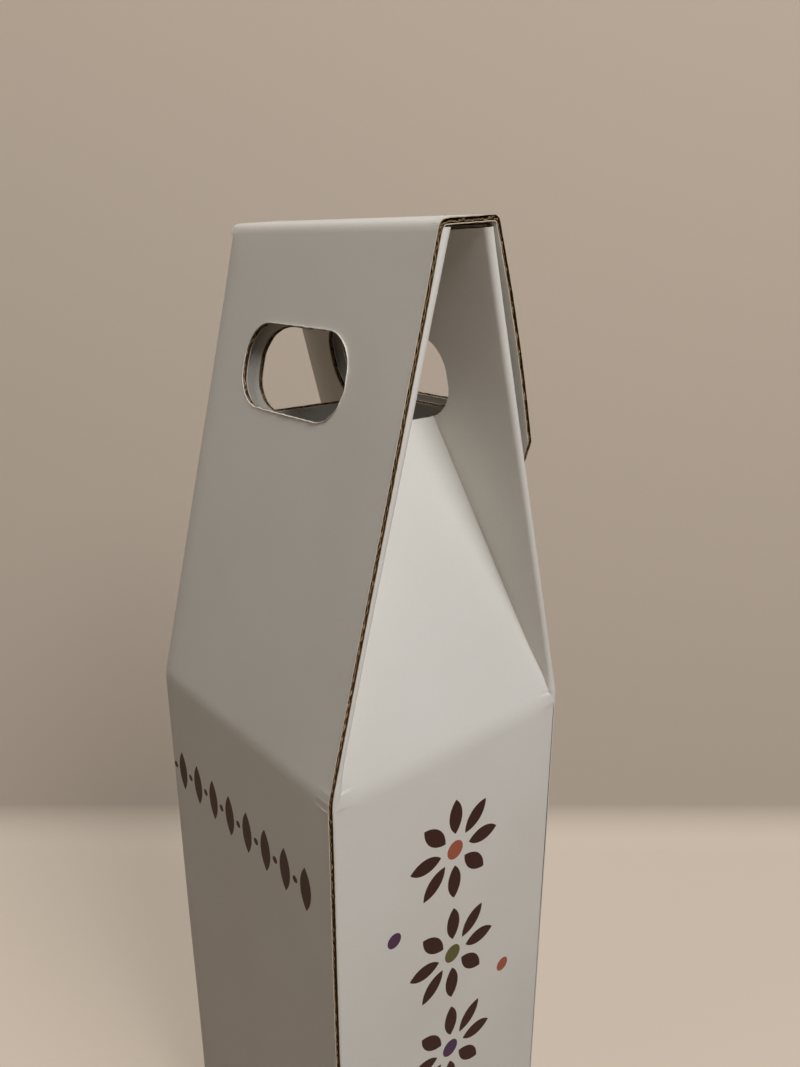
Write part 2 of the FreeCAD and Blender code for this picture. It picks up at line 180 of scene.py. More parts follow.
class Gusset:
    """One side of the box: side is -1 for the left and 1 for the right."""

    def __init__(self, side, front_layers):
        self.side = side
        self.y_front = -HALF_DEPTH + front_layers * BOARD
        self.y_back = HALF_DEPTH - BOARD
        self.centre = (self.y_front + self.y_back) / 2
        self.half_wall = (self.y_back - self.y_front) / 2
        self.half = self.half_wall - MIDDLE
        top_front = roof_y(WEB_TOP_Z, (front_layers + 0.5) * BOARD)
        top_back = roof_y(WEB_TOP_Z, 1.5 * BOARD)
        self.half_top = (top_front + top_back) / 2
        self.height = math.hypot(self.half - self.half_top, GUSSET_RISE)
        apex_z = GUSSET_RISE - self.half_top * (self.half - self.half_top) / GUSSET_RISE
        apex_in = math.sqrt(self.height ** 2 - apex_z ** 2)
        self.apex = np.array([-apex_in, 0, apex_z])
        self.up = unit(self.apex)

    def spread(self, b):
        """Half the flat width at height b: the tube's below, less the tight folds above."""
        return self.half_wall - MIDDLE * (smooth(b, -1, 5) + smooth(b, 0, 6))

    def beyond(self, a, b):
        """How far a point of the blank lies past the slanting crease, towards the web."""
        run = math.hypot(self.half, self.height)
        return ((np.abs(a) - self.half) * self.height + b * self.half) / run

    def triangle(self, a, b):
        return a[:, None] * (0, 1, 0) + b[:, None] * self.up

    def web(self, a, b):
        """A point of the web on a's own side, given in the flat blank."""
        way = np.where(a < 0, -1.0, 1.0)[:, None]
        foot = way * (0, self.half, 0)
        top = way * (0, self.half_top, 0) + (0, 0, GUSSET_RISE)
        across, along = unit(self.apex - top), unit(top - foot)
        return foot + (self.half - np.abs(a))[:, None] * across + b[:, None] * along

    def gable(self, a, b):
        """Triangle and webs, with the two slanting creases rounded."""
        run = math.hypot(self.half, self.height)
        beyond = self.beyond(a, b)
        k = np.clip((beyond + WEB_BEND) / (2 * WEB_BEND), 0, 1)[:, None]
        way = np.where(a < 0, -1.0, 1.0)
        out_a, out_b = way * self.height / run, self.half / run

        def moved(by):
            return a + out_a * by, b + out_b * by

        inner = self.triangle(*moved(-WEB_BEND - beyond))
        middle = self.triangle(*moved(-beyond))
        outer = self.web(*moved(WEB_BEND - beyond))
        curve = (1 - k) ** 2 * inner + 2 * k * (1 - k) * middle + k ** 2 * outer
        far = (np.abs(beyond) >= WEB_BEND)[:, None]
        flat = np.where((beyond > 0)[:, None], self.web(a, b), self.triangle(a, b))
        return np.where(far, flat, curve)

    def pressed(self, a, b):
        """How far a web's outer edge is pressed against the roof panel, most of all low down."""
        edge = self.spread(b) - np.abs(a)
        amount = BOARD * (0.12 + 0.5 * smooth(b, 2, 12) * (1 - smooth(b, 30, 120)))
        return np.sign(a) * amount * np.exp(-(np.maximum(edge, 0) / 3.0) ** 2) * smooth(b, 0, 6)

    def wall(self, q, s):
        low = s < S_SIDE_FOOT
        bottom = S_SIDE_FOOT - MIDDLE * math.pi / 2
        turn = np.clip((S_SIDE_FOOT - s) / MIDDLE, 0, math.pi / 2)
        inward = np.where(low, BOARD - MIDDLE * np.cos(turn) + np.maximum(bottom - s, 0), MIDDLE)
        height = np.where(low, S_SIDE_FOOT - MIDDLE * np.sin(turn), s)
        return np.stack([MIDDLE - inward, q * self.half_wall, height - SIDE_CREASE_Z], -1)

    def surface(self, q, s):
        """Middle layer at q, from -1 at the front edge to 1 at the back edge."""
        b = s - SIDE_CREASE_Z
        a = q * self.spread(b)
        k = np.clip((b + SIDE_BEND) / (2 * SIDE_BEND), 0, 1)[:, None]
        low = self.wall(q, np.full_like(s, SIDE_CREASE_Z - SIDE_BEND))
        line = self.wall(q, np.full_like(s, SIDE_CREASE_Z))
        reach = np.full_like(s, SIDE_BEND)
        high = self.gable(q * self.spread(reach), reach)
        curve = (1 - k) ** 2 * low + 2 * k * (1 - k) * line + k ** 2 * high
        far = (np.abs(b) >= SIDE_BEND)[:, None]
        flat = np.where((b > 0)[:, None], self.gable(a, b), self.wall(q, s))
        local = np.where(far, flat, curve)
        x = self.side * (HALF_WIDTH - MIDDLE + local[:, 0])
        y = self.centre + local[:, 1] + self.pressed(a, b)
        return np.stack([x, y, SIDE_CREASE_Z + local[:, 2]], -1)


left = Gusset(-1, 1)
right = Gusset(1, 2)
print("gusset heights in the blank", round(left.height, 2), round(right.height, 2), "mm")

# %% [markdown]
# ## The blank of the carton
# The panels lie side by side in the flat blank: front, left, back, right, and the glue lap. `u`
# runs across them from the front panel's free edge. Between two panels lies a narrow strip that
# becomes the rounded corner of the tube and, higher up, the tight fold of the gusset.

# %% Fold map of the carton
CORNER = 2.6
FLAT = HALF_WIDTH - BOARD
U_FRONT = HALF_WIDTH + FLAT
U_LEFT = U_FRONT + CORNER
U_LEFT_END = U_LEFT + 2 * left.half_wall
U_BACK = U_LEFT_END + CORNER
U_BACK_END = U_BACK + 2 * FLAT
U_RIGHT = U_BACK_END + CORNER
U_RIGHT_END = U_RIGHT + 2 * right.half_wall
U_LAP = U_RIGHT_END + CORNER
U_END = U_LAP + FLAT - (HALF_WIDTH - LAP)
CORNER_TRIM = 0.04
LEFT_MIDDLE = U_LEFT + left.half_wall
RIGHT_MIDDLE = U_RIGHT + right.half_wall
GUSSETS = [(left, LEFT_MIDDLE), (right, RIGHT_MIDDLE)]


def front_at(u, s):
    depth, height, _ = panel_route(s)
    return np.stack([HALF_WIDTH - u, depth - HALF_DEPTH, height], -1)


def left_at(u, s):
    return left.surface((u - U_LEFT) / left.half_wall - 1, s)


def back_at(u, s):
    depth, height, _ = panel_route(s)
    return np.stack([u - U_BACK - FLAT, HALF_DEPTH - depth, height], -1)


def right_at(u, s):
    return right.surface(1 - (u - U_RIGHT) / right.half_wall, s)


def lap_at(u, s):
    depth, height, normal = panel_route(s)
    depth, height = depth + BOARD * normal[:, 0], height + BOARD * normal[:, 1]
    return np.stack([FLAT - (u - U_LAP), depth - HALF_DEPTH, height], -1)


PANELS = [(0, U_FRONT, front_at), (U_LEFT, U_LEFT_END, left_at), (U_BACK, U_BACK_END, back_at),
          (U_RIGHT, U_RIGHT_END, right_at), (U_LAP, U_END, lap_at)]


def corner_at(u, s, low_panel, high_panel):
    """A curve from one panel's edge to the next, leaving each in line with it."""
    start, end = np.full_like(s, low_panel[1]), np.full_like(s, high_panel[0])
    a, b = low_panel[2](start, s), high_panel[2](end, s)
    step = 0.5
    leave = unit(a - low_panel[2](start - step, s))
    arrive = unit(high_panel[2](end + step, s) - b)
    turn = np.arccos(np.clip(np.sum(leave * arrive, -1), -1, 1))
    gap = np.linalg.norm(b - a, axis=-1)
    handle = (2 / 3 * np.tan(turn / 4) / np.maximum(np.sin(turn / 2), 0.05) * gap)[:, None]
    k = ((u - low_panel[1]) / (high_panel[0] - low_panel[1]))[:, None]
    c, d = a + leave * handle, b - arrive * handle
    point = (1 - k) ** 3 * a + 3 * k * (1 - k) ** 2 * c + 3 * k ** 2 * (1 - k) * d + k ** 3 * b
    limit = HALF_WIDTH - MIDDLE - CORNER_TRIM
    point[:, 0] = np.clip(point[:, 0], -limit, limit)
    return point


def carton_at(u, s):
    u, s = np.asarray(u, float), np.asarray(s, float)
    point = np.zeros((len(u), 3))
    for i, (low, high, place) in enumerate(PANELS):
        here = (u >= (low if i else -1)) & (u <= (high if place is not lap_at else U_END + 1))
        if here.any():
            point[here] = place(u[here], s[here])
        if i + 1 < len(PANELS):
            here = (u > high) & (u < PANELS[i + 1][0])
            if here.any():
                point[here] = corner_at(u[here], s[here], PANELS[i], PANELS[i + 1])
    return point


print("the blank is", round(U_END), "mm wide and", round(S_FOLD - S_FLOOR), "mm high")

# %% [markdown]
# ## Cutting a flat sheet
# A sheet is cut as a flat drawing: its outline, its hand holes, and a grid of points inside
# them that Blender's constrained Delaunay triangulation joins up. Folding the finished drawing
# is then easy, because every vertex is moved on its own.

# %% Outlines
def along_outline(corners, step, closed=True):
    """Points every step millimetres along a line through corners, which are all kept."""
    points = []
    last = len(corners) if closed else len(corners) - 1
    for i in range(last):
        start = np.array(corners[i], float)
        end = np.array(corners[(i + 1) % len(corners)], float)
        count = max(1, round(np.linalg.norm(end - start) / step))
        points += [start + (end - start) * k / count for k in range(count)]
    if not closed:
        points.append(np.array(corners[-1], float))
    return np.array(points)


def hand_hole(centre, low, length, height, radius, step):
    """A level slot with rounded corners, anticlockwise from its lower left."""
    middles = [(centre + length / 2 - radius, low + radius, -90),
               (centre + length / 2 - radius, low + height - radius, 0),
               (centre - length / 2 + radius, low + height - radius, 90),
               (centre - length / 2 + radius, low + radius, 180)]
    corners = []
    for x, y, start in middles:
        for turn in np.radians(np.linspace(start, start + 90, 2 + round(radius * 1.57 / step))):
            corners.append((x + radius * math.cos(turn), y + radius * math.sin(turn)))
    return along_outline(corners, step)


def inside(points, outline):
    """True for the points that lie inside a closed outline."""
    x0, y0 = outline.T
    x1, y1 = np.roll(outline, -1, axis=0).T
    rise = np.where(y1 == y0, 1, y1 - y0)
    odd = []
    for part in np.array_split(points, len(points) // 2000 + 1):
        x, y = part[:, :1], part[:, 1:2]
        crosses = ((y0 > y) != (y1 > y)) & (x < (x1 - x0) * (y - y0) / rise + x0)
        odd.append(crosses.sum(1) % 2 == 1)
    return np.concatenate(odd)


def distance_to(points, outline, closed=True):
    """Distance from each point to the nearest piece of a line."""
    start = outline if closed else outline[:-1]
    run = (np.roll(outline, -1, axis=0) if closed else outline[1:]) - start
    best = []
    for part in np.array_split(points, len(points) // 2000 + 1):
        away = part[:, None, :] - start
        k = np.clip((away * run).sum(-1) / np.maximum((run ** 2).sum(-1), 1e-9), 0, 1)
        best.append(np.linalg.norm(away - k[..., None] * run, axis=-1).min(1))
    return np.concatenate(best)


def into_board(line, closed):
    """Unit directions into the board, which lies to the left of the line."""
    after = np.roll(line, -1, axis=0) if closed else np.vstack([line[1:], line[-1:]])
    before = np.roll(line, 1, axis=0) if closed else np.vstack([line[:1], line[:-1]])
    way = unit(after - before)
    return np.stack([-way[:, 1], way[:, 0]], -1)


def span(low, high, step):
    return np.linspace(low, high, max(2, round((high - low) / step) + 1))


def lattice(across, along):
    return np.stack(np.meshgrid(across, along, indexing="ij"), -1).reshape(-1, 2)


# %% [markdown]
# ## Folding a sheet and making its layers
# A `Sheet` holds the flat triangles and, for each vertex, the folded place of the board's
# middle layer and the direction that faces out. Any layer is then a step along that direction:
# the outer liner from depth 0, the inner liner from the far side. At a cut edge the blade has
# spread the liners apart a little and left them ragged.

# %% The sheet
FLARE = 0.05
RAGGED = 0.07
FLARE_WIDTH = 0.6


class Sheet:
    def __init__(self, place, outline, grid, holes=(), bends=(), prints=(), cuts=(), wave=None):
        self.place, self.wave = place, wave
        cuts = [(line, False) for line in cuts] + [(hole[::-1], True) for hole in holes]
        rings = [outline, *holes, *[shape for shape, _ in prints]]
        beside = [line + into_board(line, closed) * gap for line, closed in cuts
                  for gap in (0.5, 1.2)]
        grid = np.concatenate([grid, *beside])
        grid = grid[inside(grid, outline)]
        for hole in holes:
            grid = grid[~inside(grid, hole)]
        for ring in rings:
            grid = grid[distance_to(grid, ring) > 0.3]
        flat, edges = [], []
        for ring in rings:
            first = sum(len(r) for r in flat)
            flat.append(ring)
            edges += [(first + i, first + (i + 1) % len(ring)) for i in range(len(ring))]
        for bend in bends:
            first = sum(len(r) for r in flat)
            flat.append(bend)
            edges += [(first + i, first + i + 1) for i in range(len(bend) - 1)]
        points = [Vector((x, y)) for x, y in np.concatenate([*flat, grid])]
        found = geometry.delaunay_2d_cdt(points, edges, [], 0, 1e-4)
        self.flat = np.array([(p.x, p.y) for p in found[0]])
        faces = np.array([f for f in found[2] if len(f) == 3])
        middle = self.flat[faces].mean(1)
        keep = inside(middle, outline)
        for hole in holes:
            keep &= ~inside(middle, hole)
        self.faces = faces[keep][:, ::-1]
        middle = middle[keep]
        self.ink = np.zeros(len(middle), int)
        for shape, number in prints:
            self.ink[inside(middle, shape)] = number
        used, index = np.unique(self.faces, return_inverse=True)
        self.faces, self.flat = index.reshape(-1, 3), self.flat[used]
        self.fold()
        self.edge_gap = np.full(len(self.flat), 99.0)
        for line, closed in cuts:
            self.edge_gap = np.minimum(self.edge_gap, distance_to(self.flat, line, closed))

    def fold(self):
        u, s = self.flat.T
        tiny = 0.02
        across = self.place(u + tiny, s) - self.place(u - tiny, s)
        along = self.place(u, s + tiny) - self.place(u, s - tiny)
        self.middle, self.out = self.place(u, s), unit(np.cross(along, across))
        if self.wave:
            self.middle = self.middle + self.out * self.wave(u, s)[:, None]
            rise_u = (self.wave(u + tiny, s) - self.wave(u - tiny, s)) / (2 * tiny)
            rise_s = (self.wave(u, s + tiny) - self.wave(u, s - tiny)) / (2 * tiny)
            tilt = unit(across) * rise_u[:, None] + unit(along) * rise_s[:, None]
            self.out = unit(self.out - tilt)
        flat_points = [Vector((x, y, 0)) for x, y in self.flat]
        self.search = bvhtree.BVHTree.FromPolygons(flat_points, self.faces.tolist())

    def at(self, points, depth):
        """Folded place of points of the flat sheet, at a depth below the outer face."""
        found = [self.search.find_nearest(Vector((x, y, 0))) for x, y in points]
        spot = np.array([f[0][:2] for f in found])
        face = self.faces[[f[2] for f in found]]
        a, b, c = (self.flat[face[:, i]] for i in range(3))
        ab, ac, ap = b - a, c - a, spot - a
        whole = ab[:, 0] * ac[:, 1] - ab[:, 1] * ac[:, 0]
        kb = (ap[:, 0] * ac[:, 1] - ap[:, 1] * ac[:, 0]) / whole
        kc = (ab[:, 0] * ap[:, 1] - ab[:, 1] * ap[:, 0]) / whole
        share = np.stack([1 - kb - kc, kb, kc], -1)[..., None]
        middle = (self.middle[face] * share).sum(1)
        out = unit((self.out[face] * share).sum(1))
        return middle + out * (MIDDLE - np.asarray(depth))[:, None]


# %% [markdown]
# ## From layers to meshes
# Each paper layer is a closed solid: an upper skin, a lower skin, and a rim that joins them
# along every cut. The rim shows the paper's own cream fibre, and printed faces take their ink.

# %% Layers to meshes
def add_mesh(name, points, faces, materials, chosen=None, flat=None, pinned=None, sharp=35):
    mesh = bpy.data.meshes.new(name)
    mesh.from_pydata((points * MM).tolist(), [], [tuple(f) for f in faces])
    for material in materials:
        mesh.materials.append(material)
    if chosen is not None:
        mesh.polygons.foreach_set("material_index", np.asarray(chosen, np.int32))
    if flat is not None:
        corner = np.zeros(len(mesh.loops), np.int32)
        mesh.loops.foreach_get("vertex_index", corner)
        paper = mesh.uv_layers.new(name="Blank")
        paper.data.foreach_set("uv", (flat[corner] * MM).ravel().astype(np.float32))
    mesh.shade_smooth()
    mesh.set_sharp_from_angle(angle=math.radians(sharp))
    if pinned is not None:
        on_rim = np.repeat(np.asarray(chosen) == RIM, [len(f) for f in faces])
        mesh.normals_split_custom_set(np.where(on_rim[:, None], 0, pinned[corner]).tolist())
    mesh.validate()
    made = bpy.data.objects.new(name, mesh)
    bpy.context.scene.collection.objects.link(made)
    print(name, len(mesh.polygons), "faces")
    return made


FACE, RIM, BACK = range(3)


def liner(name, sheet, outer, materials):
    """One liner of a sheet: the outer one, or the inner one on the far side."""
    near = np.exp(-(sheet.edge_gap / FLARE_WIDTH) ** 2)
    u, s = sheet.flat.T
    seed = 71 if outer else 72
    spread = near * (FLARE + RAGGED * ripple(u + s, u - s, 3.4, seed))
    if outer:
        depths = (-spread, LINER - spread)
    else:
        depths = (BOARD - LINER + spread, BOARD + spread)
    count = len(sheet.flat)
    points = np.concatenate([sheet.middle + sheet.out * (MIDDLE - depth)[:, None]
                             for depth in depths])
    points[:, 0] = np.clip(points[:, 0], -HALF_WIDTH, HALF_WIDTH)
    upper, lower = sheet.faces, sheet.faces[:, ::-1] + count
    sides = np.concatenate([sheet.faces[:, [0, 1]], sheet.faces[:, [1, 2]],
                            sheet.faces[:, [2, 0]]])
    ordered = np.sort(sides, 1)
    _, first, times = np.unique(ordered, axis=0, return_index=True, return_counts=True)
    border = sides[first[times == 1]]
    rim = [(b, a, a + count, b + count) for a, b in border]
    faces = upper.tolist() + lower.tolist() + rim
    skins = (sheet.ink, BACK + 0 * sheet.ink) if outer else (BACK + 0 * sheet.ink, 0 * sheet.ink)
    chosen = np.concatenate([*skins, np.full(len(rim), RIM)])
    seam = np.zeros((count, 1))
    seam[np.unique(border)] = 1
    seam[sheet.edge_gap < 0.05] = 0
    pinned = np.concatenate([sheet.out * seam, -sheet.out * seam])
    flat = np.concatenate([sheet.flat, sheet.flat])
    return add_mesh(name, points, faces, materials, chosen, flat, pinned)


def thin_slab(name, middle, up, material, closed, half=0.09):
    """A closed ribbon from a grid of points and the direction of its thickness."""
    rows, columns = middle.shape[:2]
    top = (middle + up * half).reshape(-1, 3)
    low = (middle - up * half).reshape(-1, 3)
    number = np.arange(rows * columns).reshape(rows, columns)
    if closed:
        number = np.concatenate([number, number[:1]])
    a, b = number[:-1, :-1].ravel(), number[1:, :-1].ravel()
    c, d = number[1:, 1:].ravel(), number[:-1, 1:].ravel()
    below = rows * columns
    faces = np.stack([a, b, c, d], 1).tolist()
    faces += (np.stack([d, c, b, a], 1) + below).tolist()
    rims = [number[:, 0], number[::-1, -1]]
    if not closed:
        rims += [number[0, ::-1], number[-1]]
    for rim in rims:
        faces += [(q, p, p + below, q + below) for p, q in zip(rim[:-1], rim[1:])]
    return add_mesh(name, np.concatenate([top, low]), faces, [material], sharp=50)


# %% [markdown]
# ## The fluting
# E-flute has a wave about every 3.3 mm. Cut across, it shows as a row of little arches; cut
# along, as a brown ribbon that wanders between the liners because the knife and the flutes are
# never quite parallel. Only the few millimetres behind a cut can be seen, so the wave is built
# there, crushed and frayed towards the cut as a steel rule leaves it.

# %% Fluting along a cut
FLUTE_PITCH = 3.3
FLUTE_SWING = 0.44
FLUTE_SKEW = 0.006
FLUTE_DEEP = 3.6
FLUTE_CRUSH = 0.6
FLUTE_PHASE = 0.9
FLUTE_INSET = 0.05


def fluting(name, sheet, line, closed, seed):
    """A waved ribbon behind the cut, which runs with the board on its left."""
    into = into_board(line, closed)
    run = np.concatenate([[0], np.cumsum(np.linalg.norm(np.diff(line, axis=0), axis=1))])
    deep = np.array([0.0, 0.3, 0.7, 1.2, 1.8, 2.6, FLUTE_DEEP])
    run_grid, deep_grid = np.meshgrid(run, deep, indexing="ij")
    fray = 0.02 + 0.55 * np.maximum(ripple(run_grid, 0, 1.7, seed + 2), 0)
    fray = fray * np.exp(-deep_grid / 0.5)
    flat = line[:, None, :] + into[:, None, :] * (deep_grid + fray)[..., None]
    place = (flat[..., 0] + FLUTE_SKEW * flat[..., 1]) / FLUTE_PITCH
    wave = np.cos(2 * math.pi * place + FLUTE_PHASE)
    crushed = 0.7 * ripple(run_grid, 0, 3.1, seed) + ripple(run_grid, deep_grid, 1.2, seed + 1)
    depth = MIDDLE + FLUTE_SWING * wave * (1 - 0.35 * np.exp(-deep_grid / 0.6))
    depth = depth + FLUTE_CRUSH * crushed * np.exp(-deep_grid / 0.9)
    depth = np.clip(depth, LINER + 0.1, BOARD - LINER - 0.14)
    points = flat.reshape(-1, 2)
    middle = sheet.at(points, depth.ravel())
    up = unit(sheet.at(points, np.zeros(len(points))) - sheet.at(points, np.ones(len(points))))
    limit = HALF_WIDTH - FLUTE_INSET
    middle[:, 0] = np.clip(middle[:, 0], -limit, limit)
    shape = (len(line), len(deep), 3)
    return thin_slab(name, middle.reshape(shape), up.reshape(shape), KRAFT, closed)


# %% [markdown]
# ## Colours and paper
# Colours are written as they look on a screen and turned linear once. `add` puts one node into
# a material, so that each recipe below reads from top to bottom.

# %% Colour and node helpers
def linear(colour):
    """A hex colour as the linear RGBA that shader sockets take."""
    parts = [int(colour[i:i + 2], 16) / 255 for i in (1, 3, 5)]
    return [*(c / 12.92 if c <= 0.04045 else ((c + 0.055) / 1.055) ** 2.4 for c in parts), 1]


def new_material(name):
    material = bpy.data.materials.new(name)
    material.use_nodes = True
    return material


def add(material, kind, inputs=(), **settings):
    """Adds one shader node. Inputs are constant values, or sockets to link from."""
    tree = material.node_tree
    node = tree.nodes.new("ShaderNode" + kind)
    for key, value in settings.items():
        setattr(node, key, value)
    connect(material, node, dict(inputs))
    return node


def connect(material, node, inputs):
    for key, value in inputs.items():
        if isinstance(value, bpy.types.NodeSocket):
            material.node_tree.links.new(value, node.inputs[key])
        else:
            node.inputs[key].default_value = value


def skin(material, **inputs):
    """Sets the main shader's inputs; an underscore stands for a space."""
    named = {key.replace("_", " "): value for key, value in inputs.items()}
    connect(material, material.node_tree.nodes["Principled BSDF"], named)


# %% [markdown]
# ## White liner, inks, cut paper and fluting
# The liner is clay-coated paper: smooth, nearly matt, and never one flat white. Its clouds are
# four centimetres wide, its grain a third of a millimetre, and the flutes under it show through
# as a wash of faint lines. All three follow the blank, so they turn with the folds.

# %% Paper materials
def coated_paper(name, light, dark, roughness):
    """Clay-coated liner: the mottle keeps it from looking like plastic."""
    material = new_material(name)
    where = add(material, "TexCoord").outputs["UV"]
    cloud = add(material, "TexNoise", {"Vector": where, "Scale": 1 / 0.04, "Detail": 4.0})
    fleck = add(material, "TexNoise", {"Vector": where, "Scale": 1 / 0.0011, "Detail": 3.0})
    spread = add(material, "Math", {0: cloud.outputs["Fac"], 1: 0.75}, operation="MULTIPLY")
    mixed = add(material, "Math", {0: fleck.outputs["Fac"], 1: 0.3, 2: spread.outputs[0]},
                operation="MULTIPLY_ADD")
    colour = add(material, "Mix", {"Factor": mixed.outputs[0], "A": linear(light),
                                   "B": linear(dark)}, data_type="RGBA")
    grain = add(material, "TexNoise", {"Vector": where, "Scale": 1 / 0.0004, "Detail": 2.0})
    flutes = add(material, "TexWave", {"Vector": where, "Scale": 0.314 / 0.0033,
                                       "Distortion": 1.2, "Detail": 1.0})
    rise = add(material, "Math", {0: flutes.outputs["Fac"], 1: 0.35, 2: grain.outputs["Fac"]},
               operation="MULTIPLY_ADD")
    bump = add(material, "Bump", {"Height": rise.outputs[0], "Distance": 0.00001,
                                  "Strength": 0.5})
    skin(material, Base_Color=colour.outputs["Result"], Roughness=roughness,
         Normal=bump.outputs["Normal"])
    material.node_tree.nodes["Principled BSDF"].inputs["Specular IOR Level"].default_value = 0.4
    return material


def torn_paper(name, light, dark, grain_mm):
    """Uncoated fibre: the grain gives a cut edge its fuzzy look."""
    material = new_material(name)
    where = add(material, "TexCoord").outputs["Object"]
    fibre = add(material, "TexNoise", {"Vector": where, "Scale": 1 / (grain_mm * MM),
                                       "Detail": 4.0, "Roughness": 0.65})
    colour = add(material, "Mix", {"Factor": fibre.outputs["Fac"], "A": linear(light),
                                   "B": linear(dark)}, data_type="RGBA")
    bump = add(material, "Bump", {"Height": fibre.outputs["Fac"], "Distance": 0.00006,
                                  "Strength": 0.8})
    skin(material, Base_Color=colour.outputs["Result"], Roughness=0.95,
         Normal=bump.outputs["Normal"])
    return material


WHITE = coated_paper("clay-coated white liner", "#eceae5", "#dedbd4", 0.55)
CUT_WHITE = torn_paper("torn white fibre", "#f1efe9", "#d9d3c6", 0.3)
CUT = torn_paper("cut edge of the liner", "#f1eadc", "#a08a68", 0.6)
KRAFT = torn_paper("kraft fluting", "#c9a97d", "#3c2918", 0.55)
BACKING = torn_paper("kraft back of the liner", "#7b5f42", "#3d2b1a", 0.8)
INKS = [coated_paper("maroon ink", "#47201a", "#351511", 0.42),
        coated_paper("brown ink", "#5d4436", "#4a352a", 0.45),
        coated_paper("terracotta ink", "#b5634a", "#a4553e", 0.45),
        coated_paper("olive ink", "#75703c", "#5e5a30", 0.45),
        coated_paper("plum ink", "#5c3a5e", "#48304c", 0.45)]
PLAIN = [WHITE, CUT, BACKING]
LAYERS = [*PLAIN, *INKS]
MAROON, BROWN, TERRACOTTA, OLIVE, PLUM = range(3, 8)
print(len(bpy.data.materials), "materials")

# %% [markdown]
# ## The print
# The decoration is two plain ornaments: a column of petal rosettes up the right side, and a
# row of upright petals across the front. Each petal is the overlap of two circles.

# %% Printed shapes
def petal(x, y, angle, length, width):
    """A pointed petal with its root at x, y, growing towards angle, in degrees."""
    bend = (length * length / 4 + width * width / 4) / width
    half = math.asin(length / 2 / bend)
    sweep = np.linspace(-half, half, 13)
    along = length / 2 + bend * np.sin(sweep)
    side = bend * np.cos(sweep) - (bend - width / 2)
    line = np.concatenate([np.stack([along, -side], -1), np.stack([along, side], -1)[-2:0:-1]])
    c, s = math.cos(math.radians(angle)), math.sin(math.radians(angle))
    return line @ np.array([[c, s], [-s, c]]) + (x, y)


def dot(x, y, radius):
    turn = np.linspace(0, 2 * math.pi, 24, endpoint=False)
    return np.stack([x + radius * np.cos(turn), y + radius * np.sin(turn)], -1)


def rosette(x, y, size, ink, heart):
    petals = [(petal(x + 0.16 * size * math.cos(math.radians(turn)),
                     y + 0.16 * size * math.sin(math.radians(turn)),
                     turn, size * 0.34, size * 0.15), ink) for turn in range(0, 360, 45)]
    return petals + [(dot(x, y, size * 0.09), heart)]


COLUMN_Y = 1.0
ROSETTE_TOP = 184
ROSETTE_PITCH = 40
ROSETTE_SIZE = 36
ROW_Z = 180
ROW_PETAL = 15

side_prints = []
side_u = RIGHT_MIDDLE - (COLUMN_Y - right.centre)
for number in range(5):
    height = ROSETTE_TOP - number * ROSETTE_PITCH
    heart = [TERRACOTTA, OLIVE, PLUM][number % 3]
    side_prints += rosette(side_u, height, ROSETTE_SIZE, MAROON, heart)
    spot = side_u + (-24 if number % 2 else 24)
    side_prints.append((dot(spot, height - ROSETTE_PITCH / 2, 2.6),
                        [PLUM, TERRACOTTA, OLIVE][number % 3]))
front_prints = []
for across in np.linspace(12, 86, 8):
    front_prints.append((petal(across, ROW_Z, 90, ROW_PETAL, 5.4), BROWN))
    front_prints.append((dot(across + 5.3, ROW_Z + ROW_PETAL / 2, 1.2), BROWN))
print(len(side_prints) + len(front_prints), "printed shapes")

# %% [markdown]
# ## Cutting and folding the carton
# The outline goes once round the blank, from the front floor flap to the glue lap and back along
# the top. Wherever the board bends, lines of points run along the bend, and the triangles may
# not cross them, which keeps every fold clean.

# %% The carton's blank
HOLE_LOW = 315.8
HOLE_LENGTH = 51.2
HOLE_HEIGHT = 24.4
HOLE_ROUND = 11.0
FRONT_HOLE_SHIFT = 2.4
WEB_HOLE_MARGIN = 20.6
INNER_FLAP = 37.0
INNER_FLAP_SETBACK = 1.0
FLOOR_SETBACK = 0.6
FRONT_ROUND = 2.8
TOP_RAISE = 1.1
BACK_TOP = 367.5
WEB_SCORE = 0.5
WEB_BEAD = 0.12
WARP = 0.12
STEP = 6.0

side_bottom = S_SIDE_FOOT - MIDDLE * math.pi / 2
s_inner = side_bottom - INNER_FLAP
web_top = SIDE_CREASE_Z + left.height + TOP_RAISE
front_top = S_FOLD - FRONT_ROUND


def floor_flap(start, end, setback):
    return [(start, BOARD), (start + setback, BOARD), (start + setback, S_FLOOR), (end, S_FLOOR)]


def inner_flap(start, end):
    low, high = start + INNER_FLAP_SETBACK, end - INNER_FLAP_SETBACK
    return [(start, S_SIDE_FOOT), (low, S_SIDE_FOOT), (low, s_inner), (high, s_inner),
            (high, S_SIDE_FOOT), (end, S_SIDE_FOOT)]


bottom = (floor_flap(0, U_FRONT, FLOOR_SETBACK) + [(U_FRONT, S_SIDE_FOOT)]
          + inner_flap(U_LEFT, U_LEFT_END)
          + [(U_BACK, S_SIDE_FOOT), (U_BACK, S_FLOOR), (U_BACK_END, S_FLOOR),
             (U_BACK_END, S_SIDE_FOOT)]
          + inner_flap(U_RIGHT, U_RIGHT_END) + [(U_LAP, S_SIDE_FOOT), (U_END, S_SIDE_FOOT)])
top = [(U_END, web_top), (U_BACK_END, web_top), (U_BACK_END, BACK_TOP), (U_BACK, BACK_TOP),
       (U_BACK, web_top), (U_FRONT, web_top), (U_FRONT, front_top), (0, front_top)]
carton_outline = along_outline(bottom + top, 1.2)

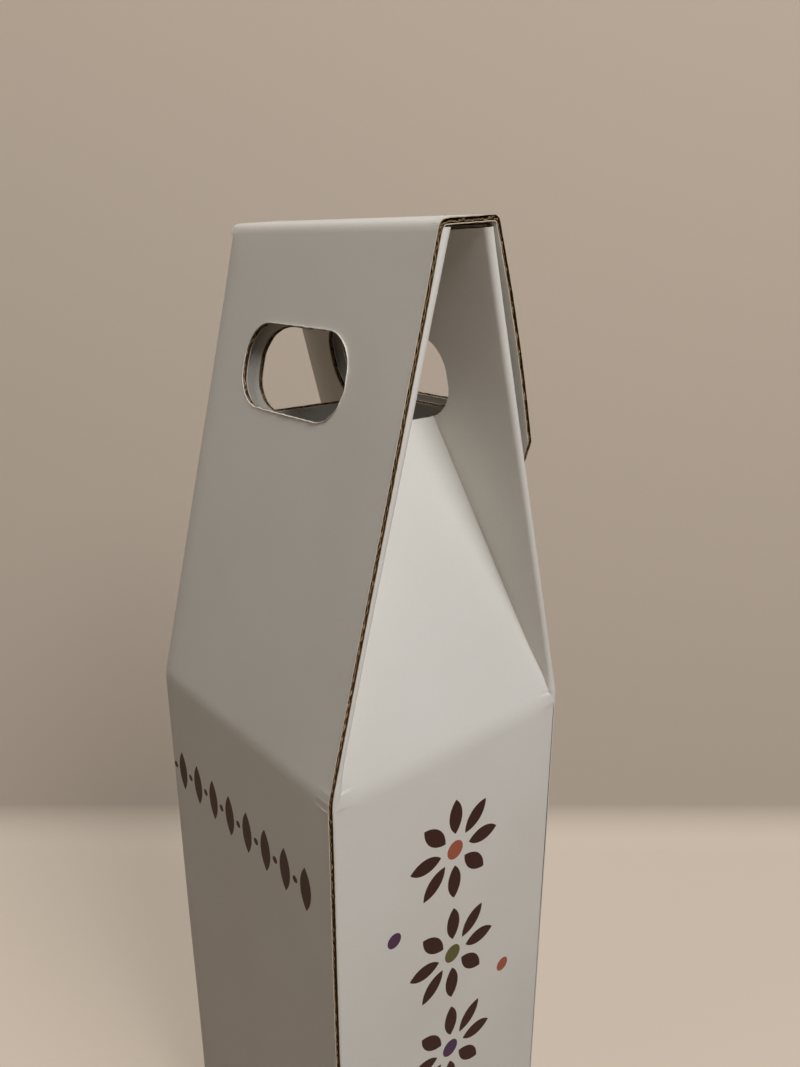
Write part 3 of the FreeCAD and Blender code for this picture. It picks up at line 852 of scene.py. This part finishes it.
crease_rows = span(bend_start, bend_start + CREASE_BEND, 0.65)
foot_rows = span(foot_start, BOARD, 0.3)
side_crease_rows = span(SIDE_CREASE_Z - SIDE_BEND, SIDE_CREASE_Z + SIDE_BEND, 0.52)
side_foot_rows = span(side_bottom, S_SIDE_FOOT, 0.3)
rows_corner = np.concatenate([span(S_SIDE_FOOT, 216, 4), span(216, 226, 0.65),
                              span(226, BACK_TOP, 4)])
grids, bends = [], []
for (start, end, place), after in zip(PANELS, PANELS[1:] + [None]):
    side_panel = place in (left_at, right_at)
    across = span(start, end, STEP)
    grids.append(lattice(across, np.arange(s_inner, web_top, STEP)))
    for row in [*side_foot_rows, *side_crease_rows] if side_panel else [*foot_rows, *crease_rows]:
        bends.append(np.stack([across, np.full_like(across, row)], -1))
    for column in span(end, after[0], CORNER / 9) if after else []:
        bends.append(np.stack([np.full_like(rows_corner, column), rows_corner], -1))

for gusset, middle_u in GUSSETS:
    b = np.arange(SIDE_BEND, gusset.height, 2.5)
    run = math.hypot(gusset.half, gusset.height)
    for off in np.array([-1.1, -0.8, -0.5, -0.35, -0.22, -0.1, 0, 0.1, 0.22, 0.35, 0.5, 0.8,
                         1.1]) * WEB_BEND:
        a = gusset.half + (off * run - b * gusset.half) / gusset.height
        here = (a > 0.2) & (a < gusset.spread(b))
        across = (a / gusset.spread(b) * gusset.half_wall)[here]
        for way in (-1, 1):
            bends.append(np.stack([middle_u + way * across, SIDE_CREASE_Z + b[here]], -1))


def punched(centre, low, length, seed, height=HOLE_HEIGHT):
    """A hand hole as the punch leaves it, with a slightly torn outline."""
    ring = hand_hole(centre, low, length, height, HOLE_ROUND, 0.8)
    run = np.arange(len(ring)) * 0.8
    return ring + into_board(ring, True) * (0.12 * ripple(run, 0, 4.2, seed))[:, None]


def web_hole(gusset, middle_u, seed):
    half = (gusset.half - WEB_HOLE_MARGIN + 1) * gusset.half_wall / gusset.spread(100)
    return punched(middle_u, HOLE_LOW - 0.8, 2 * half, seed, HOLE_HEIGHT + 0.8)


front_hole = punched(HALF_WIDTH + FRONT_HOLE_SHIFT, HOLE_LOW, HOLE_LENGTH, 81)
back_hole = punched(U_BACK + FLAT - 0.4, HOLE_LOW, HOLE_LENGTH + 1.4, 82)
left_hole = web_hole(left, LEFT_MIDDLE, 83)
right_hole = web_hole(right, RIGHT_MIDDLE, 84)
carton_holes = [front_hole, left_hole, back_hole, right_hole]
front_edge = [(0, front_top), (0, BOARD)]
front_cut = along_outline(front_edge, 0.9, closed=False)
top_cut = along_outline(top[:-2], 1.5, closed=False)
seam_cuts = [along_outline([(U_BACK, S_FLOOR), (U_BACK_END, S_FLOOR)], 1.5, closed=False),
             along_outline([(FLOOR_SETBACK, BOARD), (FLOOR_SETBACK, S_FLOOR),
                            (U_FRONT, S_FLOOR)], 1.5, closed=False)]


def slack(u, s):
    """How far the board is off its folded shape, in millimetres: warp and pressed creases."""
    below_fold = smooth(front_top - s, 0, 20)
    warp = WARP * below_fold * smooth(s, 0, 20) * (ripple(u, s, 62, 4) - 1)
    flared = np.maximum(np.exp(-(u / 4) ** 2) * below_fold, smooth(-s, 0, 5))
    warp = np.minimum(warp, 0) - (FLARE + RAGGED) * flared
    pressed = 0 * u
    for gusset, middle_u in GUSSETS:
        b = s - SIDE_CREASE_Z
        a = (u - middle_u) * gusset.spread(b) / gusset.half_wall
        off = gusset.beyond(a, b) + 0.15 * ripple(b, 0, 30, 9)
        bead = WEB_BEAD * np.exp(-((off + 1.9) / 0.7) ** 2) * smooth(b, 8, 20)
        groove = WEB_SCORE * np.exp(-(off / 0.4) ** 2) - bead
        here = (np.abs(u - middle_u) < gusset.half_wall) & (b > 0)
        pressed = pressed + np.where(here, groove * smooth(b, 0, 6), 0)
    return warp - pressed


carton = Sheet(carton_at, carton_outline, np.concatenate(grids), carton_holes, bends,
               side_prints + front_prints, [front_cut, top_cut, *seam_cuts], slack)
print("the carton's flat drawing has", len(carton.faces), "triangles")

# %% Carton pieces
carton_pieces = [liner("carton_outer_liner", carton, True, LAYERS),
                 liner("carton_inner_liner", carton, False, PLAIN)]
fine = along_outline(front_edge, 0.4, closed=False)
carton_pieces.append(fluting("fluting_front_edge", carton, fine, False, 11))
for number, hole in enumerate(carton_holes):
    path = along_outline(hole[::-1], 0.3)
    carton_pieces.append(fluting(f"fluting_hole_{number + 1}", carton, path, True, 20 + number))
carton_pieces.append(fluting("fluting_top_edge", carton, along_outline(top[:-2], 0.5, False),
                             False, 31))
for number, cut in enumerate(seam_cuts):
    carton_pieces.append(fluting(f"fluting_floor_{number + 1}", carton,
                                 along_outline(cut, 0.5, False), False, 41 + number))

# %% [markdown]
# The punch pushed the liner's torn fibres out of the front hole. They stand up as a pale lip,
# low at the left end and higher towards the right.

# %% Torn lip
TORN_TUFT = (HALF_WIDTH - 7.5, HOLE_LOW + HOLE_HEIGHT)


def torn_lip(name, sheet, ring, seed):
    """A ragged paper lip that stands out of the board's face along a hole."""
    path = along_outline(ring, 0.35)
    run = np.arange(len(path)) * 0.35
    across = (path[:, 0] - path[:, 0].min()) / np.ptp(path[:, 0])
    rise = (0.05 + 0.4 * smooth(1 - across, 0.02, 0.4)) * (0.8 + 0.4 * ripple(run, 0, 2.9, seed))
    rise += 0.14 * np.maximum(ripple(run, 0, 0.9, seed + 1), 0)
    rise += 0.5 * np.exp(-((np.linalg.norm(path - TORN_TUFT, axis=1)) / 0.5) ** 2)
    away = -into_board(path, True)
    steps = [(0.0, 0.12), (0.04, -0.4), (0.16, -1.0)]
    middle = np.stack([sheet.at(path + away * lean, np.where(high < 0, high * rise, high))
                       for lean, high in steps], 1)
    up = unit(sheet.at(path + away, 0 * run) - sheet.at(path, 0 * run))
    up = np.repeat(up[:, None, :], len(steps), 1)
    return thin_slab(name, middle, up, CUT_WHITE, True, half=0.05)


carton_pieces.append(torn_lip("torn_lip", carton, front_hole, 91))
for piece in carton_pieces:
    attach(piece, "carton")
    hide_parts("box_body")

# %% [markdown]
# ## The lid
# The front panel carries on over the top: a rounded fold, the strip, a sharper fold, and the
# back flap, which bows away from the back panel. `s` simply runs on. The two folds cross the
# hinges, and their pieces are left where they are made, attached to no body.

# %% Fold map of the lid
BACK_ROUND = 1.25
FLAP_LENGTH = 73.0
FLAP_STRAIGHT = 60.0
FLAP_TAPER = 6.3
FLAP_ROUND = 5.0
FLAP_BOW = 1.4
FLAP_TOP = MIDDLE + 0.3
FLAP_HOLE_TOP = 27.1

strip_way = unit(BACK_FOLD[1:] - FRONT_FOLD[1:])
S_BACK = S_FOLD + np.linalg.norm(BACK_FOLD - FRONT_FOLD)
flap_down = np.array([math.sin(LEAN), -math.cos(LEAN)])
flap_out = np.array([math.cos(LEAN), math.sin(LEAN)])


def strip_yz(s):
    return FRONT_FOLD[1:] + np.multiply.outer(s - S_FOLD, strip_way)


def flap_yz(s):
    drop = s - S_BACK
    chord = FLAP_LENGTH - FLAP_TOP
    radius = chord ** 2 / (8 * FLAP_BOW) + FLAP_BOW / 2
    off = drop - (FLAP_LENGTH + FLAP_TOP) / 2
    bow = np.sqrt(radius ** 2 - off ** 2) - (radius - FLAP_BOW)
    bow = bow * smooth(drop, 0, FLAP_TOP * 2)
    return BACK_FOLD[1:] + np.multiply.outer(drop, flap_down) + np.multiply.outer(bow, flap_out)


def rounded(s, low, corner, high, reach, start, pull):
    """A curve from low to high, drawn towards the corner more strongly as pull grows."""
    k = ((s - start) / (2 * reach))[:, None]
    share = np.concatenate([(1 - k) ** 2, 2 * k * (1 - k) * pull, k ** 2], 1)
    share = share / share.sum(1, keepdims=True)
    return share @ np.array([low, corner, high])


def lid_at(u, s):
    u, s = np.asarray(u, float), np.asarray(s, float)
    depth, height, _ = panel_route(np.array([front_top]))
    below = np.array([depth[0] - HALF_DEPTH, height[0]])
    ahead, behind = S_FOLD + FRONT_ROUND, S_BACK - BACK_ROUND
    yz = strip_yz(s)
    front = rounded(s, below, FRONT_FOLD[1:], strip_yz(ahead), FRONT_ROUND, front_top, 1.9)
    back = rounded(s, strip_yz(behind), BACK_FOLD[1:], flap_yz(S_BACK + BACK_ROUND), BACK_ROUND,
                   behind, 1.0)
    yz = np.where((s < ahead)[:, None], front, yz)
    yz = np.where((s > behind)[:, None], back, yz)
    yz = np.where((s > S_BACK + BACK_ROUND)[:, None], flap_yz(s), yz)
    return np.stack([HALF_WIDTH - u, yz[:, 0], yz[:, 1]], -1)


# %% Lid pieces
WIDTH = 2 * HALF_WIDTH


def band(name, low, high, row_step, seed):
    """A sheet of the lid's full width, with its two cut ends and their fluting."""
    box = along_outline([(0, low), (WIDTH, low), (WIDTH, high), (0, high)], 1.5)
    cuts = [along_outline([(0, high), (0, low)], 0.5, False),
            along_outline([(WIDTH, low), (WIDTH, high)], 0.5, False)]
    across = span(0, WIDTH, 4)
    rows = [np.stack([across, np.full_like(across, row)], -1)
            for row in span(low, high, row_step)[1:-1]]
    sheet = Sheet(lid_at, box, lattice(across[:1], [low]), (), rows, (), cuts)
    made = [liner(name + "_outer_liner", sheet, True, PLAIN),
            liner(name + "_inner_liner", sheet, False, PLAIN)]
    for side, cut in zip(("right", "left"), cuts):
        path = along_outline(cut, 0.25, False)
        made.append(fluting(f"{name}_fluting_{side}", sheet, path, False, seed))
    return made


front_bend = band("front_fold", front_top, S_FOLD + FRONT_ROUND, 0.4, 51)
strip = band("strip", S_FOLD + FRONT_ROUND, S_BACK - BACK_ROUND, 3, 53)
back_bend = band("back_fold", S_BACK - BACK_ROUND, S_BACK + BACK_ROUND, 0.25, 55)

flap_start, flap_end = S_BACK + BACK_ROUND, S_BACK + FLAP_LENGTH
shoulder = S_BACK + FLAP_STRAIGHT
corner = np.array([FLAP_TAPER, flap_end])
slope = unit(np.array([0, shoulder]) - corner)
turn = math.acos(np.dot(slope, (1, 0)))
tangent = FLAP_ROUND / math.tan(turn / 2)
end_corner = []
for k in np.linspace(0, 1, 9):
    a, b = corner + slope * tangent, corner + np.array([tangent, 0])
    end_corner.append((1 - k) ** 2 * a + 2 * k * (1 - k) * corner + k ** 2 * b)
right_side = [(0, shoulder), *map(tuple, end_corner)]
left_side = [(WIDTH - x, y) for x, y in right_side]
flap_edge = left_side + right_side[::-1]
flap_hole = punched(HALF_WIDTH + 0.4, S_BACK + FLAP_HOLE_TOP, HOLE_LENGTH + 1.4, 85)
flap_outline = along_outline([(0, flap_start), (WIDTH, flap_start), *flap_edge], 1.5)
flap_cut = along_outline([(WIDTH, flap_start), *flap_edge, (0, flap_start)], 0.9, False)
flap_sheet = Sheet(lid_at, flap_outline,
                   lattice(span(0, WIDTH, 4), span(flap_start, flap_end, 3)),
                   [flap_hole], (), (), [flap_cut])
flap = [liner("flap_outer_liner", flap_sheet, True, PLAIN),
        liner("flap_inner_liner", flap_sheet, False, PLAIN),
        fluting("flap_fluting", flap_sheet, along_outline(flap_cut, 0.35, False), False, 61),
        fluting("flap_hole_fluting", flap_sheet, along_outline(flap_hole[::-1], 0.3), True, 63)]


def in_frame(s):
    return Vector(lid_at(np.array([HALF_WIDTH]), np.array([s]))[0] * MM)


for piece in front_bend:
    in_frame(front_top)
    in_frame(S_FOLD + FRONT_ROUND)
    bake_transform(piece)
for piece in back_bend:
    in_frame(S_BACK - BACK_ROUND)
    in_frame(flap_start)
    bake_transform(piece)
for piece in strip:
    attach(piece, "lid")
for piece in flap:
    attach(piece, "flap")
for piece in front_bend + strip + back_bend:
    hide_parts("top_strip")
for piece in flap:
    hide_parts("back_flap")

# %% [markdown]
# ## The table, the light and the camera
# One warm sheet of paper lies under the box and sweeps up behind it. The room's light is warm
# and weak, and one large window-like lamp stands high on the right, so that the right side is
# bright, the front is in half shade and the gusset's far web is dark. Only the camera sees the
# paper and the room glow a little. The paper's glow is painted light: stronger on the table than
# on the wall, as if the table were lit more, so the background is pale and the box's light stays
# plain.

# %% Stage
CAMERA_AT = Vector((0.2002, -0.1502, 0.3586))
LOOK = Vector((-0.7236, 0.6103, -0.3223))


def sweep_sheet(name, behind, radius, height, half_width, material):
    """A floor that curves up into a backdrop, square to the camera's view."""
    away = Vector((LOOK.x, LOOK.y, 0)).normalized()
    side = Vector((-away.y, away.x, 0))
    profile = [(-3.0, 0.0), (-1.0, 0.0), (-0.3, 0.0), (behind, 0.0)]
    for angle in np.radians(np.linspace(6, 90, 15)):
        profile.append((behind + radius * math.sin(angle), radius * (1 - math.cos(angle))))
    profile.append((behind + radius, height))
    rows = [[away * x + Vector((0, 0, z)) + side * w for w in (half_width, -half_width)]
            for x, z in profile]
    points = np.array([p for row in rows for p in row]) / MM
    faces = [(2 * i, 2 * i + 1, 2 * i + 3, 2 * i + 2) for i in range(len(rows) - 1)]
    return add_mesh(name, points, faces, [material])


# Painted light: the paper glows for the camera only, more on the table than on the wall, as if lit
# from above.
TABLE_PAINTED_LIGHT = 0.34
WALL_PAINTED_LIGHT = 0.17
paper = new_material("background paper")
facing = add(paper, "NewGeometry").outputs["Backfacing"]
clear = add(paper, "BsdfTransparent")
main = paper.node_tree.nodes["Principled BSDF"]
seen = add(paper, "LightPath").outputs["Is Camera Ray"]
height = add(paper, "SeparateXYZ", {0: add(paper, "NewGeometry").outputs["Position"]})
level = add(paper, "MapRange", {"Value": height.outputs["Z"], "From Min": 0.0, "From Max": 0.02,
                                "To Min": TABLE_PAINTED_LIGHT, "To Max": WALL_PAINTED_LIGHT})
glow = add(paper, "Math", {0: seen, 1: level.outputs[0]}, operation="MULTIPLY")
both = add(paper, "MixShader", {0: facing, 1: main.outputs[0], 2: clear.outputs[0]})
connect(paper, paper.node_tree.nodes["Material Output"], {"Surface": both.outputs[0]})
skin(paper, Base_Color=linear("#a8998a"), Roughness=0.9, Emission_Color=linear("#fff0dd"),
     Emission_Strength=glow.outputs[0])
sweep_sheet("table_and_backdrop", 0.19, 0.02, 2.0, 2.5, paper)

# %% Light
def area_lamp(name, place, size, power, colour):
    data = bpy.data.lights.new(name, "AREA")
    data.shape, data.size, data.energy, data.color = "DISK", size, power, linear(colour)[:3]
    lamp = bpy.data.objects.new(name, data)
    lamp.location = place
    lamp.rotation_euler = (Vector((0, 0, 0.25)) - lamp.location).to_track_quat("-Z", "Y").to_euler()
    bpy.context.scene.collection.objects.link(lamp)


area_lamp("window", Vector((0.75, -0.03, 1.15)), 0.5, 10.0, "#ffffff")
area_lamp("room_fill", Vector((-0.12, -0.45, 0.85)), 0.35, 0.75, "#fff6ea")
world = bpy.data.worlds.new("room")
world.use_nodes = True
bpy.context.scene.world = world
room = world.node_tree.nodes["Background"]
seen = add(world, "LightPath").outputs["Is Camera Ray"]
level = add(world, "Math", {0: seen, 1: 0.3, 2: 0.07}, operation="MULTIPLY_ADD")
connect(world, room, {"Color": linear("#fff4e6"), "Strength": level.outputs[0]})

# %% Camera
camera_data = bpy.data.cameras.new("camera")
camera_data.lens = 28.81
camera_data.sensor_width = 36.0
camera_data.clip_start = 0.01
camera = bpy.data.objects.new("camera", camera_data)
camera.location = CAMERA_AT
camera.rotation_euler = LOOK.to_track_quat("-Z", "Y").to_euler()
bpy.context.scene.collection.objects.link(camera)
bpy.context.scene.camera = camera
bpy.context.scene.view_settings.view_transform = "Standard"
